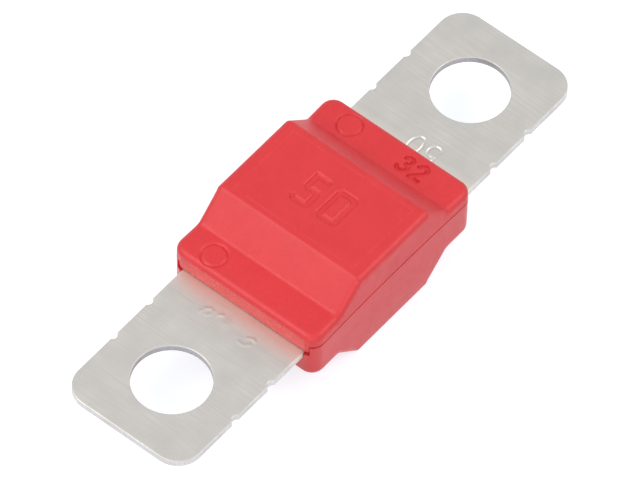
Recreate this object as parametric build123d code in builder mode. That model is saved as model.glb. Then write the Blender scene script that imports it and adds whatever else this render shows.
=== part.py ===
from build123d import *

import math
import os

os.makedirs("parts", exist_ok=True)

# Bolt-in strip fuse for two M5 studs, in millimetres.
# The origin is the middle of the fuse, on the mid-plane of the metal strip.
# +X runs along the strip from stud to stud, +Y across it, +Z up through the upper cover.

# ---- Stud fixing and metal strip -------------------------------------------------------------
stud_spacing = 30.0  # centre to centre of the two stud holes
stud_hole_diameter = 5.3  # clears an M5 stud
stud_to_blade_end = 5.0  # from the centre of a stud hole to the end of its blade
strip_width = 10.0
strip_thickness = 0.5
blade_corner_radius = 1.8

# ---- Nicks left on the blade edges where the carrier strip was cut away ------------------------
nick_width = 0.65
nick_depth = 0.2
nick_inset = 0.3  # from the stud hole's centre to the outer nick, towards the body
nick_pitch = 3.5  # between the two nicks of one edge

# ---- Melting link, stamped from the same strip -------------------------------------------------
link_width = 1.1
link_pitch = 2.3  # between the three runs of the S
link_turn_reach = 2.6  # from the middle to the centre line of each turn
link_window = 9.0  # length of the strip that is cut down to the link
link_root_radius = 0.45
pill_pad_diameter = 2.0
pill_shank_diameter = 0.9
pill_head_diameter = 1.5
pill_head_height = 0.25

# ---- Moulded covers, outside ------------------------------------------------------------------
body_length = 16.1
body_width = 11.9
parting_height = 1.0  # the joint between the covers, above the strip's mid-plane
plateau_height = 3.95  # the flat top and the flat underside, from the strip's mid-plane
plateau_length = 6.9
slope_length = 1.95
ledge_height = 2.05
draft_angle = 0.8  # degrees
corner_radius = 1.0
rim_radius = 0.45
plateau_edge_radius = 0.35
slope_foot_radius = 0.45

# ---- Moulded covers, inside -------------------------------------------------------------------
cover_wall = 1.0  # over the chamber
clamp_land = 3.15  # from the end face to the chamber, where the strip is held
chamber_width = 9.2
chamber_corner_radius = 0.6
lip_thickness = 0.55  # the lower cover's rim, outside the upper cover's tongue
tongue_clearance = 0.05
tongue_setback = 0.05  # the tongue ends just short of the covers' end faces
strip_side_clearance = 0.05
strip_recess_rise = 0.1  # how far the strip's recess stands above the strip's mid-plane
mouth_gap = 0.12  # between the strip and the tongue where the strip leaves the body
mouth_depth = 0.6

# ---- Locating pegs of the lower cover ----------------------------------------------------------
peg_diameter = 1.4
peg_chamfer = 0.2
peg_inset = 1.55  # from the end face to the peg's centre
peg_spacing = 6.4  # across the strip
peg_hole_clearance = 0.1
socket_clearance = 0.05
socket_depth = 1.0  # above the strip
peg_end_clearance = 0.1

# ---- Round witness marks on the upper ledges ---------------------------------------------------
mark_diameter = 1.85
mark_groove_width = 0.14
mark_groove_depth = 0.08
mark_inset = 1.27  # from the end face to the mark's centre
mark_offset = 3.35  # from the middle of the ledge

# ---- Places that several pieces share ----------------------------------------------------------
strip_top = strip_thickness / 2
strip_bottom = -strip_thickness / 2
strip_length = stud_spacing + 2 * stud_to_blade_end
body_end = body_length / 2
slope_foot = plateau_length / 2 + slope_length
slope_angle = math.atan2(plateau_height - ledge_height, slope_length)
chamber_length = body_length - 2 * clamp_land
slot_width = body_width - 2 * lip_thickness
tongue_width = slot_width - 2 * tongue_clearance
tongue_bottom = strip_top + mouth_gap
socket_top = strip_top + socket_depth
# A nick is a round bite: its circle cuts the edge over the nick's width, to the nick's depth.
nick_radius = ((nick_width / 2) ** 2 + nick_depth**2) / (2 * nick_depth)
peg_pattern = GridLocations(body_length - 2 * peg_inset, peg_spacing, 2, 2)


def corners_at(sketch, x):
    """The corners of a sketch that stand at +x and at -x."""
    return sketch.vertices().filter_by(lambda corner: abs(abs(corner.X) - x) < 0.001)


def stepped_profile(side):
    """Side view of one cover's outside: ledge, slope, plateau, slope, ledge (side: 1 up, -1 down)."""
    past_end = body_end + body_width
    with BuildSketch(Plane.XZ) as profile:
        with BuildLine():
            Polyline(
                (-past_end, side * ledge_height),
                (-slope_foot, side * ledge_height),
                (-plateau_length / 2, side * plateau_height),
                (plateau_length / 2, side * plateau_height),
                (slope_foot, side * ledge_height),
                (past_end, side * ledge_height),
                (past_end, parting_height),
                (-past_end, parting_height),
                close=True,
            )
        make_face()
        fillet(corners_at(profile, slope_foot), slope_foot_radius)
        fillet(corners_at(profile, plateau_length / 2), plateau_edge_radius)
    return profile.sketch


def outer_form(side):
    """Solid outside of one cover, drafted away from the parting joint (side: 1 up, -1 down)."""
    profile = stepped_profile(side)
    joint_plane = Plane(origin=(0, 0, parting_height), x_dir=(1, 0, 0), z_dir=(0, 0, side))
    with BuildPart() as form:
        with BuildSketch(joint_plane):
            RectangleRounded(body_length, body_width, corner_radius)
        extrude(amount=plateau_height - side * parting_height, taper=draft_angle)
        extrude(profile, amount=body_width, both=True, mode=Mode.INTERSECT)
        steps = form.faces().filter_by(lambda face: side * face.normal_at().Z > 0.5)
        walls = form.faces().filter_by(lambda face: abs(face.normal_at().Z) < 0.5)
        fillet(steps.edges() & walls.edges(), rim_radius)
    return form.part


def chamber_core():
    """The hollow round the melting link: it follows the slopes, one wall thickness inside them."""
    ceiling = plateau_height - cover_wall
    chamber_end = chamber_length / 2
    # The slope's inner line is the outer one moved inwards by the wall, square to the slope.
    wall_drop = cover_wall / math.cos(slope_angle)
    ceiling_end = plateau_length / 2 - (wall_drop - cover_wall) / math.tan(slope_angle)
    shoulder = plateau_height - wall_drop - (chamber_end - plateau_length / 2) * math.tan(slope_angle)
    with BuildPart() as core:
        with BuildSketch():
            RectangleRounded(chamber_length, chamber_width, chamber_corner_radius)
        extrude(amount=ceiling, both=True)
        with BuildSketch(Plane.XZ):
            with BuildLine():
                Polyline(
                    (-chamber_end, shoulder),
                    (-ceiling_end, ceiling),
                    (ceiling_end, ceiling),
                    (chamber_end, shoulder),
                    (chamber_end, -shoulder),
                    (ceiling_end, -ceiling),
                    (-ceiling_end, -ceiling),
                    (-chamber_end, -shoulder),
                    close=True,
                )
            make_face()
        extrude(amount=chamber_width, both=True, mode=Mode.INTERSECT)
    return core.part


def locating_pegs():
    """Round pegs that stand on the floor of the strip's recess, with a lead-in at the top."""
    with BuildPart() as pegs:
        with BuildSketch(Plane.XY.offset(strip_bottom)):
            with peg_pattern:
                Circle(peg_diameter / 2)
        extrude(amount=socket_top - peg_end_clearance - strip_bottom)
        chamfer(pegs.faces().group_by(Axis.Z)[-1].edges(), peg_chamfer)
    return pegs.part


# ---- Fuse element: two blades and the melting link, one stamping -------------------------------
with BuildPart() as fuse_element:
    with BuildSketch() as strip:
        RectangleRounded(strip_length, strip_width, blade_corner_radius)
        Rectangle(link_window, strip_width, mode=Mode.SUBTRACT)
        with BuildLine():
            FilletPolyline(
                (-link_window / 2, -link_pitch),
                (link_turn_reach, -link_pitch),
                (link_turn_reach, 0),
                (-link_turn_reach, 0),
                (-link_turn_reach, link_pitch),
                (link_window / 2, link_pitch),
                radius=0.45 * link_pitch,
            )
        trace(line_width=link_width)
        roots = corners_at(strip, link_window / 2)
        fillet(roots.filter_by(lambda corner: abs(corner.Y) < strip_width / 2 - 0.001), link_root_radius)
        Circle(pill_pad_diameter / 2)
        Circle(pill_shank_diameter / 2, mode=Mode.SUBTRACT)
        with GridLocations(stud_spacing, 0, 2, 1):
            Circle(stud_hole_diameter / 2, mode=Mode.SUBTRACT)
        with peg_pattern:
            Circle(peg_diameter / 2 + peg_hole_clearance, mode=Mode.SUBTRACT)
        for nick_x in (stud_spacing / 2 - nick_inset, stud_spacing / 2 - nick_inset - nick_pitch):
            with GridLocations(2 * nick_x, strip_width + 2 * (nick_radius - nick_depth), 2, 2):
                Circle(nick_radius, mode=Mode.SUBTRACT)
    extrude(amount=strip_thickness / 2, both=True)
fuse_element.part.label = "fuse_element"
export_step(fuse_element.part, "parts/fuse_element.step")

# ---- Tin pill: a rivet through the pad in the middle of the melting link -----------------------
with BuildPart() as tin_pill:
    Cylinder(pill_shank_diameter / 2, strip_thickness)
    for side in (1, -1):
        with BuildSketch(Plane(origin=(0, 0, side * strip_top), z_dir=(0, 0, side))):
            Circle(pill_head_diameter / 2)
        extrude(amount=pill_head_height)
    rims = tin_pill.edges().group_by(Axis.Z)
    fillet(rims[0] + rims[-1], pill_head_height / 2)
tin_pill.part.label = "tin_pill"
export_step(tin_pill.part, "parts/tin_pill.step")

# ---- Lower cover: deep half, with the recess for the strip and the four pegs -------------------
with BuildPart() as lower_cover:
    add(outer_form(-1))
    with BuildSketch(Plane.XY.offset(strip_recess_rise)):
        Rectangle(body_length, slot_width)
    extrude(amount=parting_height - strip_recess_rise, mode=Mode.SUBTRACT)
    with BuildSketch(Plane.XY.offset(strip_bottom)):
        Rectangle(body_length, strip_width + 2 * strip_side_clearance)
    extrude(amount=strip_recess_rise - strip_bottom, mode=Mode.SUBTRACT)
    add(chamber_core(), mode=Mode.SUBTRACT)
    add(locating_pegs())
lower_cover.part.label = "lower_cover"
export_step(lower_cover.part, "parts/lower_cover.step")

# ---- Upper cover: shallow half, with the tongue that closes the slot over the blades -----------
with BuildPart() as upper_cover:
    add(outer_form(1))
    with BuildSketch(Plane.XY.offset(tongue_bottom)):
        RectangleRounded(body_length - 2 * tongue_setback, body_width, corner_radius)
        Rectangle(body_length, tongue_width, mode=Mode.INTERSECT)
    extrude(amount=parting_height - tongue_bottom)
    # The pads between mouth and chamber stand down to the strip and clamp it.
    with BuildSketch(Plane.XY.offset(strip_top)):
        Rectangle(body_length - 2 * mouth_depth, strip_width)
    extrude(amount=mouth_gap)
    add(chamber_core(), mode=Mode.SUBTRACT)
    with BuildSketch(Plane.XY.offset(strip_top)):
        with peg_pattern:
            Circle(peg_diameter / 2 + socket_clearance)
    extrude(amount=socket_depth, mode=Mode.SUBTRACT)
    with BuildSketch(Plane.XY.offset(ledge_height)):
        with Locations((-body_end + mark_inset, mark_offset), (body_end - mark_inset, mark_offset)):
            Circle(mark_diameter / 2)
            Circle(mark_diameter / 2 - mark_groove_width, mode=Mode.SUBTRACT)
    extrude(amount=-mark_groove_depth, mode=Mode.SUBTRACT)
upper_cover.part.label = "upper_cover"
export_step(upper_cover.part, "parts/upper_cover.step")
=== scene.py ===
import logging
import math
from dataclasses import dataclass, field
from enum import Enum
from typing import Callable, Sequence

import bmesh
import bpy
import numpy as np
from mathutils import Matrix, Vector
from mathutils.geometry import delaunay_2d_cdt


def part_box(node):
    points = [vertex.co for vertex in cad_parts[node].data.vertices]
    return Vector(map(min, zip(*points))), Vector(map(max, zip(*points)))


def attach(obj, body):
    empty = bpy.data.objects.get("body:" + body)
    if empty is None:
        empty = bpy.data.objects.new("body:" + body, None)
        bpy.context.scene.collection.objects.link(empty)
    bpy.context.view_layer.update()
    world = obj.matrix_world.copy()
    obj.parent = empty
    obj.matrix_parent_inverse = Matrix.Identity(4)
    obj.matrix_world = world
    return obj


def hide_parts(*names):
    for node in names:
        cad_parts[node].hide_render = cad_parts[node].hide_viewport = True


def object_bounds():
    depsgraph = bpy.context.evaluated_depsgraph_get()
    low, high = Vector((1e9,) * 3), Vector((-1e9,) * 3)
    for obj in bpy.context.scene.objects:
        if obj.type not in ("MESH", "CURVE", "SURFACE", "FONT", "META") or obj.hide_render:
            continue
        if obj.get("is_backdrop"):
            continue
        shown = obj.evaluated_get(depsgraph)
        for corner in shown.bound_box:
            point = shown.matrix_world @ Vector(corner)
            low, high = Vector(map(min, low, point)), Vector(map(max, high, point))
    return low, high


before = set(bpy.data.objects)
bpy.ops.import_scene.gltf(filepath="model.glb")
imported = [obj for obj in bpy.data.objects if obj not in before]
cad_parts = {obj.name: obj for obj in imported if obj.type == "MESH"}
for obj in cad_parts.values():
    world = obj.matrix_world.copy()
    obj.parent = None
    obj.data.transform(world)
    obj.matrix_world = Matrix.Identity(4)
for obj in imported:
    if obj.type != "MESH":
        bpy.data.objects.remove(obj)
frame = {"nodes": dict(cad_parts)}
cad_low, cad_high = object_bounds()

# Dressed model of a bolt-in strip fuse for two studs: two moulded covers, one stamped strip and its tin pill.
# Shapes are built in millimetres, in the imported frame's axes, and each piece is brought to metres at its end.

MM = 0.001  # a millimetre in metres
SAME_POINT = 1e-5  # points nearer together than this are one, in millimetres
TINY = 1e-6  # a length in millimetres that counts as none
LEAST = 1e-9  # keeps what is divided by above zero
FAR = 1e9  # farther than any place on the part
log = logging.getLogger("fuse")

Point2 = tuple[float, float]
Colour = tuple[float, float, float]
Stretch = tuple[float, float, float]
Outline = tuple[Point2, ...]
Body = bpy.types.Object
Material = bpy.types.Material
Socket = bpy.types.NodeSocket
Heights = Callable[[np.ndarray, np.ndarray], np.ndarray]
Inputs = dict[str | int, object]


class Side(Enum):
    """Which of the two covers: the one above the joint or the one below it."""

    UPPER = 1
    LOWER = -1


class Cut(Enum):
    """How one solid acts on another."""

    ADD = "UNION"
    REMOVE = "DIFFERENCE"


class Slot(Enum):
    """Material slots of the record."""

    COVER = "cover_plastic"
    STRIP = "plated_strip"


# ---- Geometry helpers --------------------------------------------------------------------------


def node_box_mm(node: str) -> tuple[np.ndarray, np.ndarray]:
    """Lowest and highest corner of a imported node.

    Args:
        node: name of the node.

    Returns:
        The two corners in millimetres.
    """
    low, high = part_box(node)
    return np.array(low) / MM, np.array(high) / MM


def smooth_step(value: np.ndarray, half_width: float) -> np.ndarray:
    """Rises smoothly from 0 at -half_width to 1 at +half_width."""
    t = np.clip((value + half_width) / (2 * half_width), 0.0, 1.0)
    return t * t * (3 - 2 * t)


def arc(centre: Point2, radius: Point2 | float, start: float, end: float, steps: int) -> list[Point2]:
    """Points along an elliptic arc.

    Args:
        centre: middle of the arc.
        radius: one radius, or the two along u and v.
        start: first angle, in degrees.
        end: last angle, in degrees.
        steps: number of intervals.

    Returns:
        steps + 1 points.
    """
    ru, rv = radius if isinstance(radius, tuple) else (radius, radius)
    angles = np.radians(np.linspace(start, end, steps + 1))
    return [(centre[0] + ru * math.cos(a), centre[1] + rv * math.sin(a)) for a in angles]


def circle(centre: Point2, radius: float, steps: int) -> np.ndarray:
    """Points of a full circle, anticlockwise, each once."""
    return np.array(arc(centre, radius, 0, 360, steps)[:-1])


def inset(loop: np.ndarray, distance: float) -> np.ndarray:
    """Moves a closed anticlockwise outline inwards, keeping its corners mitred.

    Args:
        loop: corner points, one a row.
        distance: how far inwards.

    Returns:
        As many points as the loop has.
    """
    before = loop - np.roll(loop, 1, axis=0)
    after = np.roll(loop, -1, axis=0) - loop
    before /= np.linalg.norm(before, axis=1)[:, None]
    after /= np.linalg.norm(after, axis=1)[:, None]
    normal_before = np.stack([-before[:, 1], before[:, 0]], 1)
    normal_after = np.stack([-after[:, 1], after[:, 0]], 1)
    bisector = normal_before + normal_after
    sharpest = 0.5  # a sharper corner than this gets a shorter mitre
    scale = 2.0 / np.maximum((bisector**2).sum(1), sharpest)
    return loop + bisector * scale[:, None] * distance


def inside(points: np.ndarray, loop: np.ndarray) -> np.ndarray:
    """Tells which points lie inside a closed outline.

    Args:
        points: points to test, one a row.
        loop: corner points of the outline.

    Returns:
        One true or false value for each point.
    """
    x, y = points[:, 0][:, None], points[:, 1][:, None]
    x0, y0 = loop[:, 0][None], loop[:, 1][None]
    x1, y1 = np.roll(loop[:, 0], -1)[None], np.roll(loop[:, 1], -1)[None]
    crosses = (y0 > y) != (y1 > y)
    rise = np.where(y1 == y0, 1.0, y1 - y0)
    return ((x < (x1 - x0) * (y - y0) / rise + x0) & crosses).sum(1) % 2 == 1


def merged(values: np.ndarray, gap: float) -> np.ndarray:
    """Sorts values and drops each that lies nearer than a gap to the one before it.

    Args:
        values: numbers in any order.
        gap: least distance between two that stay.

    Returns:
        The numbers that stay, rising.
    """
    kept: list[float] = []
    for value in sorted(values):
        if not kept or value - kept[-1] > gap:
            kept.append(float(value))
    return np.array(kept)


@dataclass(frozen=True)
class Patch:
    """A finely divided rectangle of a face, where a mark is, in millimetres."""

    low: Point2
    high: Point2
    pitch: float
    frame: float = 0.09  # left free round the fine points, for the join to the coarse ones


@dataclass
class Quilt:
    """Points and faces of one mesh in the making, in millimetres."""

    points: list[np.ndarray] = field(default_factory=list)
    faces: list[tuple[int, ...]] = field(default_factory=list)
    count: int = 0

    def add(self, xyz: np.ndarray) -> np.ndarray:
        """Adds points.

        Args:
            xyz: points, with the last axis of length 3.

        Returns:
            Their indices, in the shape of the other axes.
        """
        flat = np.asarray(xyz, float).reshape(-1, 3)
        self.points.append(flat)
        indices = np.arange(self.count, self.count + len(flat)).reshape(np.shape(xyz)[:-1])
        self.count += len(flat)
        return indices

    def cap(self, loop: np.ndarray) -> None:
        """Closes a loop of indices with one flat face."""
        self.faces.append(tuple(loop.tolist()))

    def sheet(self, grid: np.ndarray, skip: np.ndarray | None = None) -> None:
        """Adds a face for each cell of a grid.

        Args:
            grid: indices of the points, by row and column.
            skip: true for each cell that gets no face.
        """
        cells = np.stack([grid[:-1, :-1], grid[1:, :-1], grid[1:, 1:], grid[:-1, 1:]], -1)
        wanted = np.ones(cells.shape[:2], bool) if skip is None else ~skip
        self.faces += [tuple(cell) for cell in cells[wanted].tolist()]

    def band(self, first: np.ndarray, second: np.ndarray) -> None:
        """Adds the closed band of faces between two loops.

        Args:
            first: indices of the one loop.
            second: indices of the other, as many.
        """
        cells = np.stack([first, np.roll(first, -1), np.roll(second, -1), second], 1)
        self.faces += [tuple(cell) for cell in cells.tolist()]

    def fill(self, outer: np.ndarray, holes: Sequence[np.ndarray]) -> None:
        """Fills a loop with triangles in plan, apart from the holes in it.

        Args:
            outer: indices of the loop.
            holes: indices of each loop inside it that stays open.
        """
        points = np.concatenate(self.points)
        loops = [outer, *holes]
        ids = np.concatenate(loops)
        edges, start = [], 0
        for loop in loops:
            edges += [(start + k, start + (k + 1) % len(loop)) for k in range(len(loop))]
            start += len(loop)
        plan = [Vector(p) for p in points[ids][:, :2]]
        inside_only = 1
        _, _, faces, origins, _, _ = delaunay_2d_cdt(plan, edges, [], inside_only, TINY)
        corner = np.array([ids[o[0]] for o in origins])
        middles = np.array([points[corner[list(f)]][:, :2].mean(0) for f in faces])
        keep = inside(middles, points[outer][:, :2])
        for hole in holes:
            keep &= ~inside(middles, points[hole][:, :2])
        self.faces += [tuple(corner[list(f)].tolist()) for f, wanted in zip(faces, keep) if wanted]

    def fine_sheet(self, patch: Patch, surface: Heights) -> np.ndarray:
        """Adds a patch's fine points and their faces.

        Args:
            patch: rectangle and pitch.
            surface: gives the signed height at each place.

        Returns:
            The loop of indices round the edge of the fine points.
        """
        axes = []
        for low, high in zip(patch.low, patch.high):
            cells = int(round((high - low - 2 * patch.frame) / patch.pitch))
            axes.append(np.linspace(low + patch.frame, high - patch.frame, cells + 1))
        x, y = np.meshgrid(*axes, indexing="ij")
        grid = self.add(np.stack([x, y, surface(x, y)], -1))
        self.sheet(grid)
        return np.concatenate([grid[:-1, 0], grid[-1, :-1], grid[:0:-1, -1], grid[0, :0:-1]])

    def to_object(self, name: str) -> Body:
        """Makes a closed mesh object, with doubled points merged and faces turned outwards.

        Args:
            name: name of the object.

        Returns:
            The new object, still in millimetres.
        """
        mesh = bpy.data.meshes.new(name)
        mesh.from_pydata(np.concatenate(self.points).tolist(), [], self.faces)
        work = bmesh.new()
        work.from_mesh(mesh)
        bmesh.ops.remove_doubles(work, verts=work.verts, dist=SAME_POINT)
        loose = [v for v in work.verts if not v.link_faces]
        bmesh.ops.delete(work, geom=loose, context="VERTS")
        bmesh.ops.recalc_face_normals(work, faces=work.faces)
        work.to_mesh(mesh)
        work.free()
        return link_object(name, mesh)


def link_object(name: str, content: bpy.types.ID) -> Body:
    """Puts an object of its own into the scene.

    Args:
        name: name of the object.
        content: mesh, lamp or camera that it holds.

    Returns:
        The object.
    """
    body = bpy.data.objects.new(name, content)
    bpy.context.scene.collection.objects.link(body)
    return body


def loft(name: str, first: np.ndarray, second: np.ndarray) -> Body:
    """A closed solid between two flat outlines in space.

    Args:
        name: name of the object.
        first: corner points of the one end, one a row.
        second: corner points of the other end, as many.

    Returns:
        The solid.
    """
    quilt = Quilt()
    rings = [quilt.add(outline) for outline in (first, second)]
    quilt.band(*rings)
    for ring in rings:
        quilt.cap(ring)
    return quilt.to_object(name)


def prism(name: str, outline: np.ndarray, low: float, high: float, foot: np.ndarray | None = None) -> Body:
    """A closed solid over an outline in plan, straight or with a foot of its own.

    Args:
        name: name of the object.
        outline: corner points, one a row.
        low: height of the foot.
        high: height of the top.
        foot: corner points of the foot, if they differ from the outline.

    Returns:
        The solid.
    """
    ends = ((outline if foot is None else foot, low), (outline, high))
    return loft(name, *(np.column_stack([plan, np.full(len(plan), z)]) for plan, z in ends))


def block(name: str, half_x: float, half_y: float, low: float, high: float) -> Body:
    """A plain block centred on the strip, between two heights."""
    corners = np.array([(-half_x, -half_y), (half_x, -half_y), (half_x, half_y), (-half_x, half_y)])
    return prism(name, corners, low, high)


def combine(target: Body, tool: Body, how: Cut) -> None:
    """Adds one solid to another or cuts it out, and deletes the tool.

    Args:
        target: solid that is changed.
        tool: solid that acts on it.
        how: whether it adds or removes.
    """
    modifier = target.modifiers.new("combine", "BOOLEAN")
    modifier.object = tool
    modifier.operation = how.value
    modifier.solver = "EXACT"
    bake_modifiers(target)
    bpy.data.objects.remove(tool)


def bake_modifiers(target: Body) -> None:
    """Turns an object's live modifiers into its plain mesh.

    Args:
        target: object that is changed.
    """
    graph = bpy.context.evaluated_depsgraph_get()
    graph.update()
    mesh = bpy.data.meshes.new_from_object(target.evaluated_get(graph))
    target.modifiers.clear()
    old, target.data = target.data, mesh
    bpy.data.meshes.remove(old)


def dress(piece: Body, *materials: Material) -> None:
    """Gives an object its materials, in the order of its slots.

    Args:
        piece: object that is changed.
        materials: its finishes.
    """
    piece.data.materials.clear()
    for material in materials:
        piece.data.materials.append(material)


def finish_piece(piece: Body, node: str, slot: Slot, crease: float) -> None:
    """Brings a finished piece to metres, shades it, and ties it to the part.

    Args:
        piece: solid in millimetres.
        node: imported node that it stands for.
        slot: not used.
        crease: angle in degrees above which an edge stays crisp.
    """
    piece.data.transform(Matrix.Scale(MM, 4))
    piece.data.polygons.foreach_set("use_smooth", [True] * len(piece.data.polygons))
    piece.data.set_sharp_from_angle(angle=math.radians(crease))
    piece.data.update()
    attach(piece, "root")
    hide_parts(node)
    log.info("%s: %d faces", piece.name, len(piece.data.polygons))


# ---- Node trees --------------------------------------------------------------------------------


class Nodes:
    """A node tree in the making, of any kind."""

    def __init__(self, tree: bpy.types.NodeTree) -> None:
        """Starts on an emptied tree."""
        self.tree = tree
        tree.nodes.clear()

    def node(self, kind: str, inputs: Inputs | None = None, **settings: object) -> bpy.types.Node:
        """Adds a node.

        Args:
            kind: Blender's name of the node type.
            inputs: socket name or number to a value or a socket.
            settings: properties of the node.

        Returns:
            The new node.
        """
        made = self.tree.nodes.new(kind)
        for key, value in settings.items():
            setattr(made, key, value)
        for key, value in (inputs or {}).items():
            if isinstance(value, Socket):
                self.tree.links.new(value, made.inputs[key])
            else:
                made.inputs[key].default_value = value
        return made

    def maths(self, how: str, first: object, second: object) -> Socket:
        """Works out one number from two."""
        return self.node("ShaderNodeMath", {0: first, 1: second}, operation=how).outputs[0]

    def seen_or_mirrored(self) -> Socket:
        """Tells rays that come from the camera, a mirror or glass from those that light the object.

        Returns:
            1 for the first kind, 0 for the second.
        """
        path = self.node("ShaderNodeLightPath").outputs
        either = self.maths("MAXIMUM", path["Is Camera Ray"], path["Is Glossy Ray"])
        return self.maths("MAXIMUM", either, path["Is Transmission Ray"])


class ShapeTree(Nodes):
    """A Geometry Nodes tree in the making, with named inputs for its sizes."""

    def __init__(self, name: str, sizes: dict[str, float]) -> None:
        """Starts the tree.

        Args:
            name: name of the tree.
            sizes: its number inputs and their values.
        """
        super().__init__(bpy.data.node_groups.new(name, "GeometryNodeTree"))
        face = self.tree.interface
        face.new_socket("Geometry", in_out="INPUT", socket_type="NodeSocketGeometry")
        self.values: dict[str, float] = {}
        for key, value in sizes.items():
            socket = face.new_socket(key, in_out="INPUT", socket_type="NodeSocketFloat")
            self.values[socket.identifier] = float(value)
        finish = face.new_socket("Material", in_out="INPUT", socket_type="NodeSocketMaterial")
        self.material_id = finish.identifier
        face.new_socket("Geometry", in_out="OUTPUT", socket_type="NodeSocketGeometry")
        self.given = self.node("NodeGroupInput").outputs

    def run(self, host: Body, shape: Socket, material: Material) -> None:
        """Ends the tree, runs it on an object and leaves the result as the object's plain mesh.

        Args:
            host: object that carries the tree while it runs.
            shape: geometry that the tree has made.
            material: finish of the result.
        """
        real = self.node("GeometryNodeRealizeInstances", {0: shape})
        inputs = {"Geometry": real.outputs[0], "Material": self.given["Material"]}
        self.node("NodeGroupOutput", {0: self.node("GeometryNodeSetMaterial", inputs).outputs[0]})
        modifier = host.modifiers.new("shape", "NODES")
        modifier.node_group = self.tree
        for identifier, value in self.values.items():
            modifier[identifier] = value
        modifier[self.material_id] = material
        bake_modifiers(host)
        bpy.data.node_groups.remove(self.tree)


@dataclass(frozen=True)
class PegArray:
    """Four round pegs at the corners of a rectangle, each with a small lead-in at its top, in millimetres."""

    spacing_x: float
    spacing_y: float
    radius: float
    foot: float
    top: float
    lead_in: float
    sides: int = 40

    def build(self, name: str, material: Material) -> Body:
        """Makes the four pegs as one mesh.

        Args:
            name: name of the object.
            material: finish of the pegs.

        Returns:
            The pegs.
        """
        sizes = {
            "Spacing X": self.spacing_x,
            "Spacing Y": self.spacing_y,
            "Radius": self.radius,
            "Shaft": self.top - self.foot - self.lead_in,
            "Lead-in": self.lead_in,
            "Top Scale": (self.radius - self.lead_in) / self.radius,
            "Middle": (self.top + self.foot - self.lead_in) / 2,
        }
        tree = ShapeTree(name, sizes)
        size = tree.given
        spacing = {"Size X": size["Spacing X"], "Size Y": size["Spacing Y"], "Vertices X": 2, "Vertices Y": 2}
        corners = tree.node("GeometryNodeMeshGrid", spacing)
        section = {"Vertices": self.sides, "Radius": size["Radius"], "Depth": size["Shaft"]}
        shaft = tree.node("GeometryNodeMeshCylinder", section).outputs
        end = {"Mesh": shaft["Mesh"], "Selection": shaft["Top"], "Offset Scale": size["Lead-in"]}
        raised = tree.node("GeometryNodeExtrudeMesh", end).outputs
        taper = {"Geometry": raised["Mesh"], "Selection": raised["Top"], "Scale": size["Top Scale"]}
        tapered = tree.node("GeometryNodeScaleElements", taper).outputs[0]
        lift = tree.node("ShaderNodeCombineXYZ", {"Z": size["Middle"]}).outputs[0]
        placed = tree.node("GeometryNodeTransform", {"Geometry": tapered, "Translation": lift}).outputs[0]
        copies = {"Points": corners.outputs["Mesh"], "Instance": placed}
        array = tree.node("GeometryNodeInstanceOnPoints", copies)
        host = link_object(name, bpy.data.meshes.new(name))
        tree.run(host, array.outputs[0], material)
        return host


@dataclass(frozen=True)
class LinkSweep:
    """The S-shaped melting link: a flat bar that follows its path in the strip's plane, in millimetres."""

    half_window: float
    pitch: float
    reach: float
    width: float
    thickness: float
    sunk: float = 0.4  # how far each end runs on into its blade
    turn: float = 0.45  # radius of a turn, as a share of the pitch
    turn_steps: int = 12

    def build(self, name: str, material: Material) -> Body:
        """Makes the link.

        Args:
            name: name of the object.
            material: finish of the link.

        Returns:
            The link.
        """
        end = self.half_window + self.sunk
        path = [
            (-end, -self.pitch, 0.0),
            (self.reach, -self.pitch, 0.0),
            (self.reach, 0.0, 0.0),
            (-self.reach, 0.0, 0.0),
            (-self.reach, self.pitch, 0.0),
            (end, self.pitch, 0.0),
        ]
        line = bpy.data.meshes.new(name)
        line.from_pydata(path, [(k, k + 1) for k in range(len(path) - 1)], [])
        host = link_object(name, line)
        sizes = {"Turn Radius": self.turn * self.pitch, "Width": self.width, "Thickness": self.thickness}
        tree = ShapeTree(name, sizes)
        size = tree.given
        curve = tree.node("GeometryNodeMeshToCurve", {0: size["Geometry"]})
        rounding = {"Curve": curve.outputs[0], "Radius": size["Turn Radius"], "Count": self.turn_steps}
        turns = tree.node("GeometryNodeFilletCurve", rounding, mode="POLY")
        flat = tree.node("GeometryNodeSetCurveNormal", {"Curve": turns.outputs[0]}, mode="Z_UP")
        sides = {"Width": size["Width"], "Height": size["Thickness"]}
        section = tree.node("GeometryNodeCurvePrimitiveQuadrilateral", sides)
        sweep = {"Curve": flat.outputs[0], "Profile Curve": section.outputs[0], "Fill Caps": True}
        tree.run(host, tree.node("GeometryNodeCurveToMesh", sweep).outputs[0], material)
        return host


# ---- Marks moulded or punched into a face --------------------------------------------------------


@dataclass(frozen=True)
class Mark:
    """A shape sunk into a face, with soft shoulders, in millimetres. A depth below zero raises it."""

    depth: float
    softness: float

    def distance(self, x: np.ndarray, y: np.ndarray) -> np.ndarray:
        """Signed distance to the shape's edge, below zero inside it."""
        raise NotImplementedError

    def sink(self, x: np.ndarray, y: np.ndarray) -> np.ndarray:
        """How far the mark lowers the face at each place."""
        return self.depth * (1 - smooth_step(self.distance(x, y), self.softness))


def total_sink(marks: Sequence[Mark], x: np.ndarray, y: np.ndarray) -> np.ndarray:
    """How far several marks together lower a face at each place."""
    return sum((mark.sink(x, y) for mark in marks), np.zeros(np.shape(x)))


@dataclass(frozen=True)
class Ring(Mark):
    """A round groove."""

    centre: Point2
    radius: float
    width: float

    def distance(self, x: np.ndarray, y: np.ndarray) -> np.ndarray:
        """Signed distance to the groove's edge."""
        return np.abs(np.hypot(x - self.centre[0], y - self.centre[1]) - self.radius) - self.width / 2


@dataclass(frozen=True)
class Disc(Mark):
    """A round shallow dish or boss."""

    centre: Point2
    radius: float

    def distance(self, x: np.ndarray, y: np.ndarray) -> np.ndarray:
        """Signed distance to the disc's edge."""
        return np.hypot(x - self.centre[0], y - self.centre[1]) - self.radius


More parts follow.
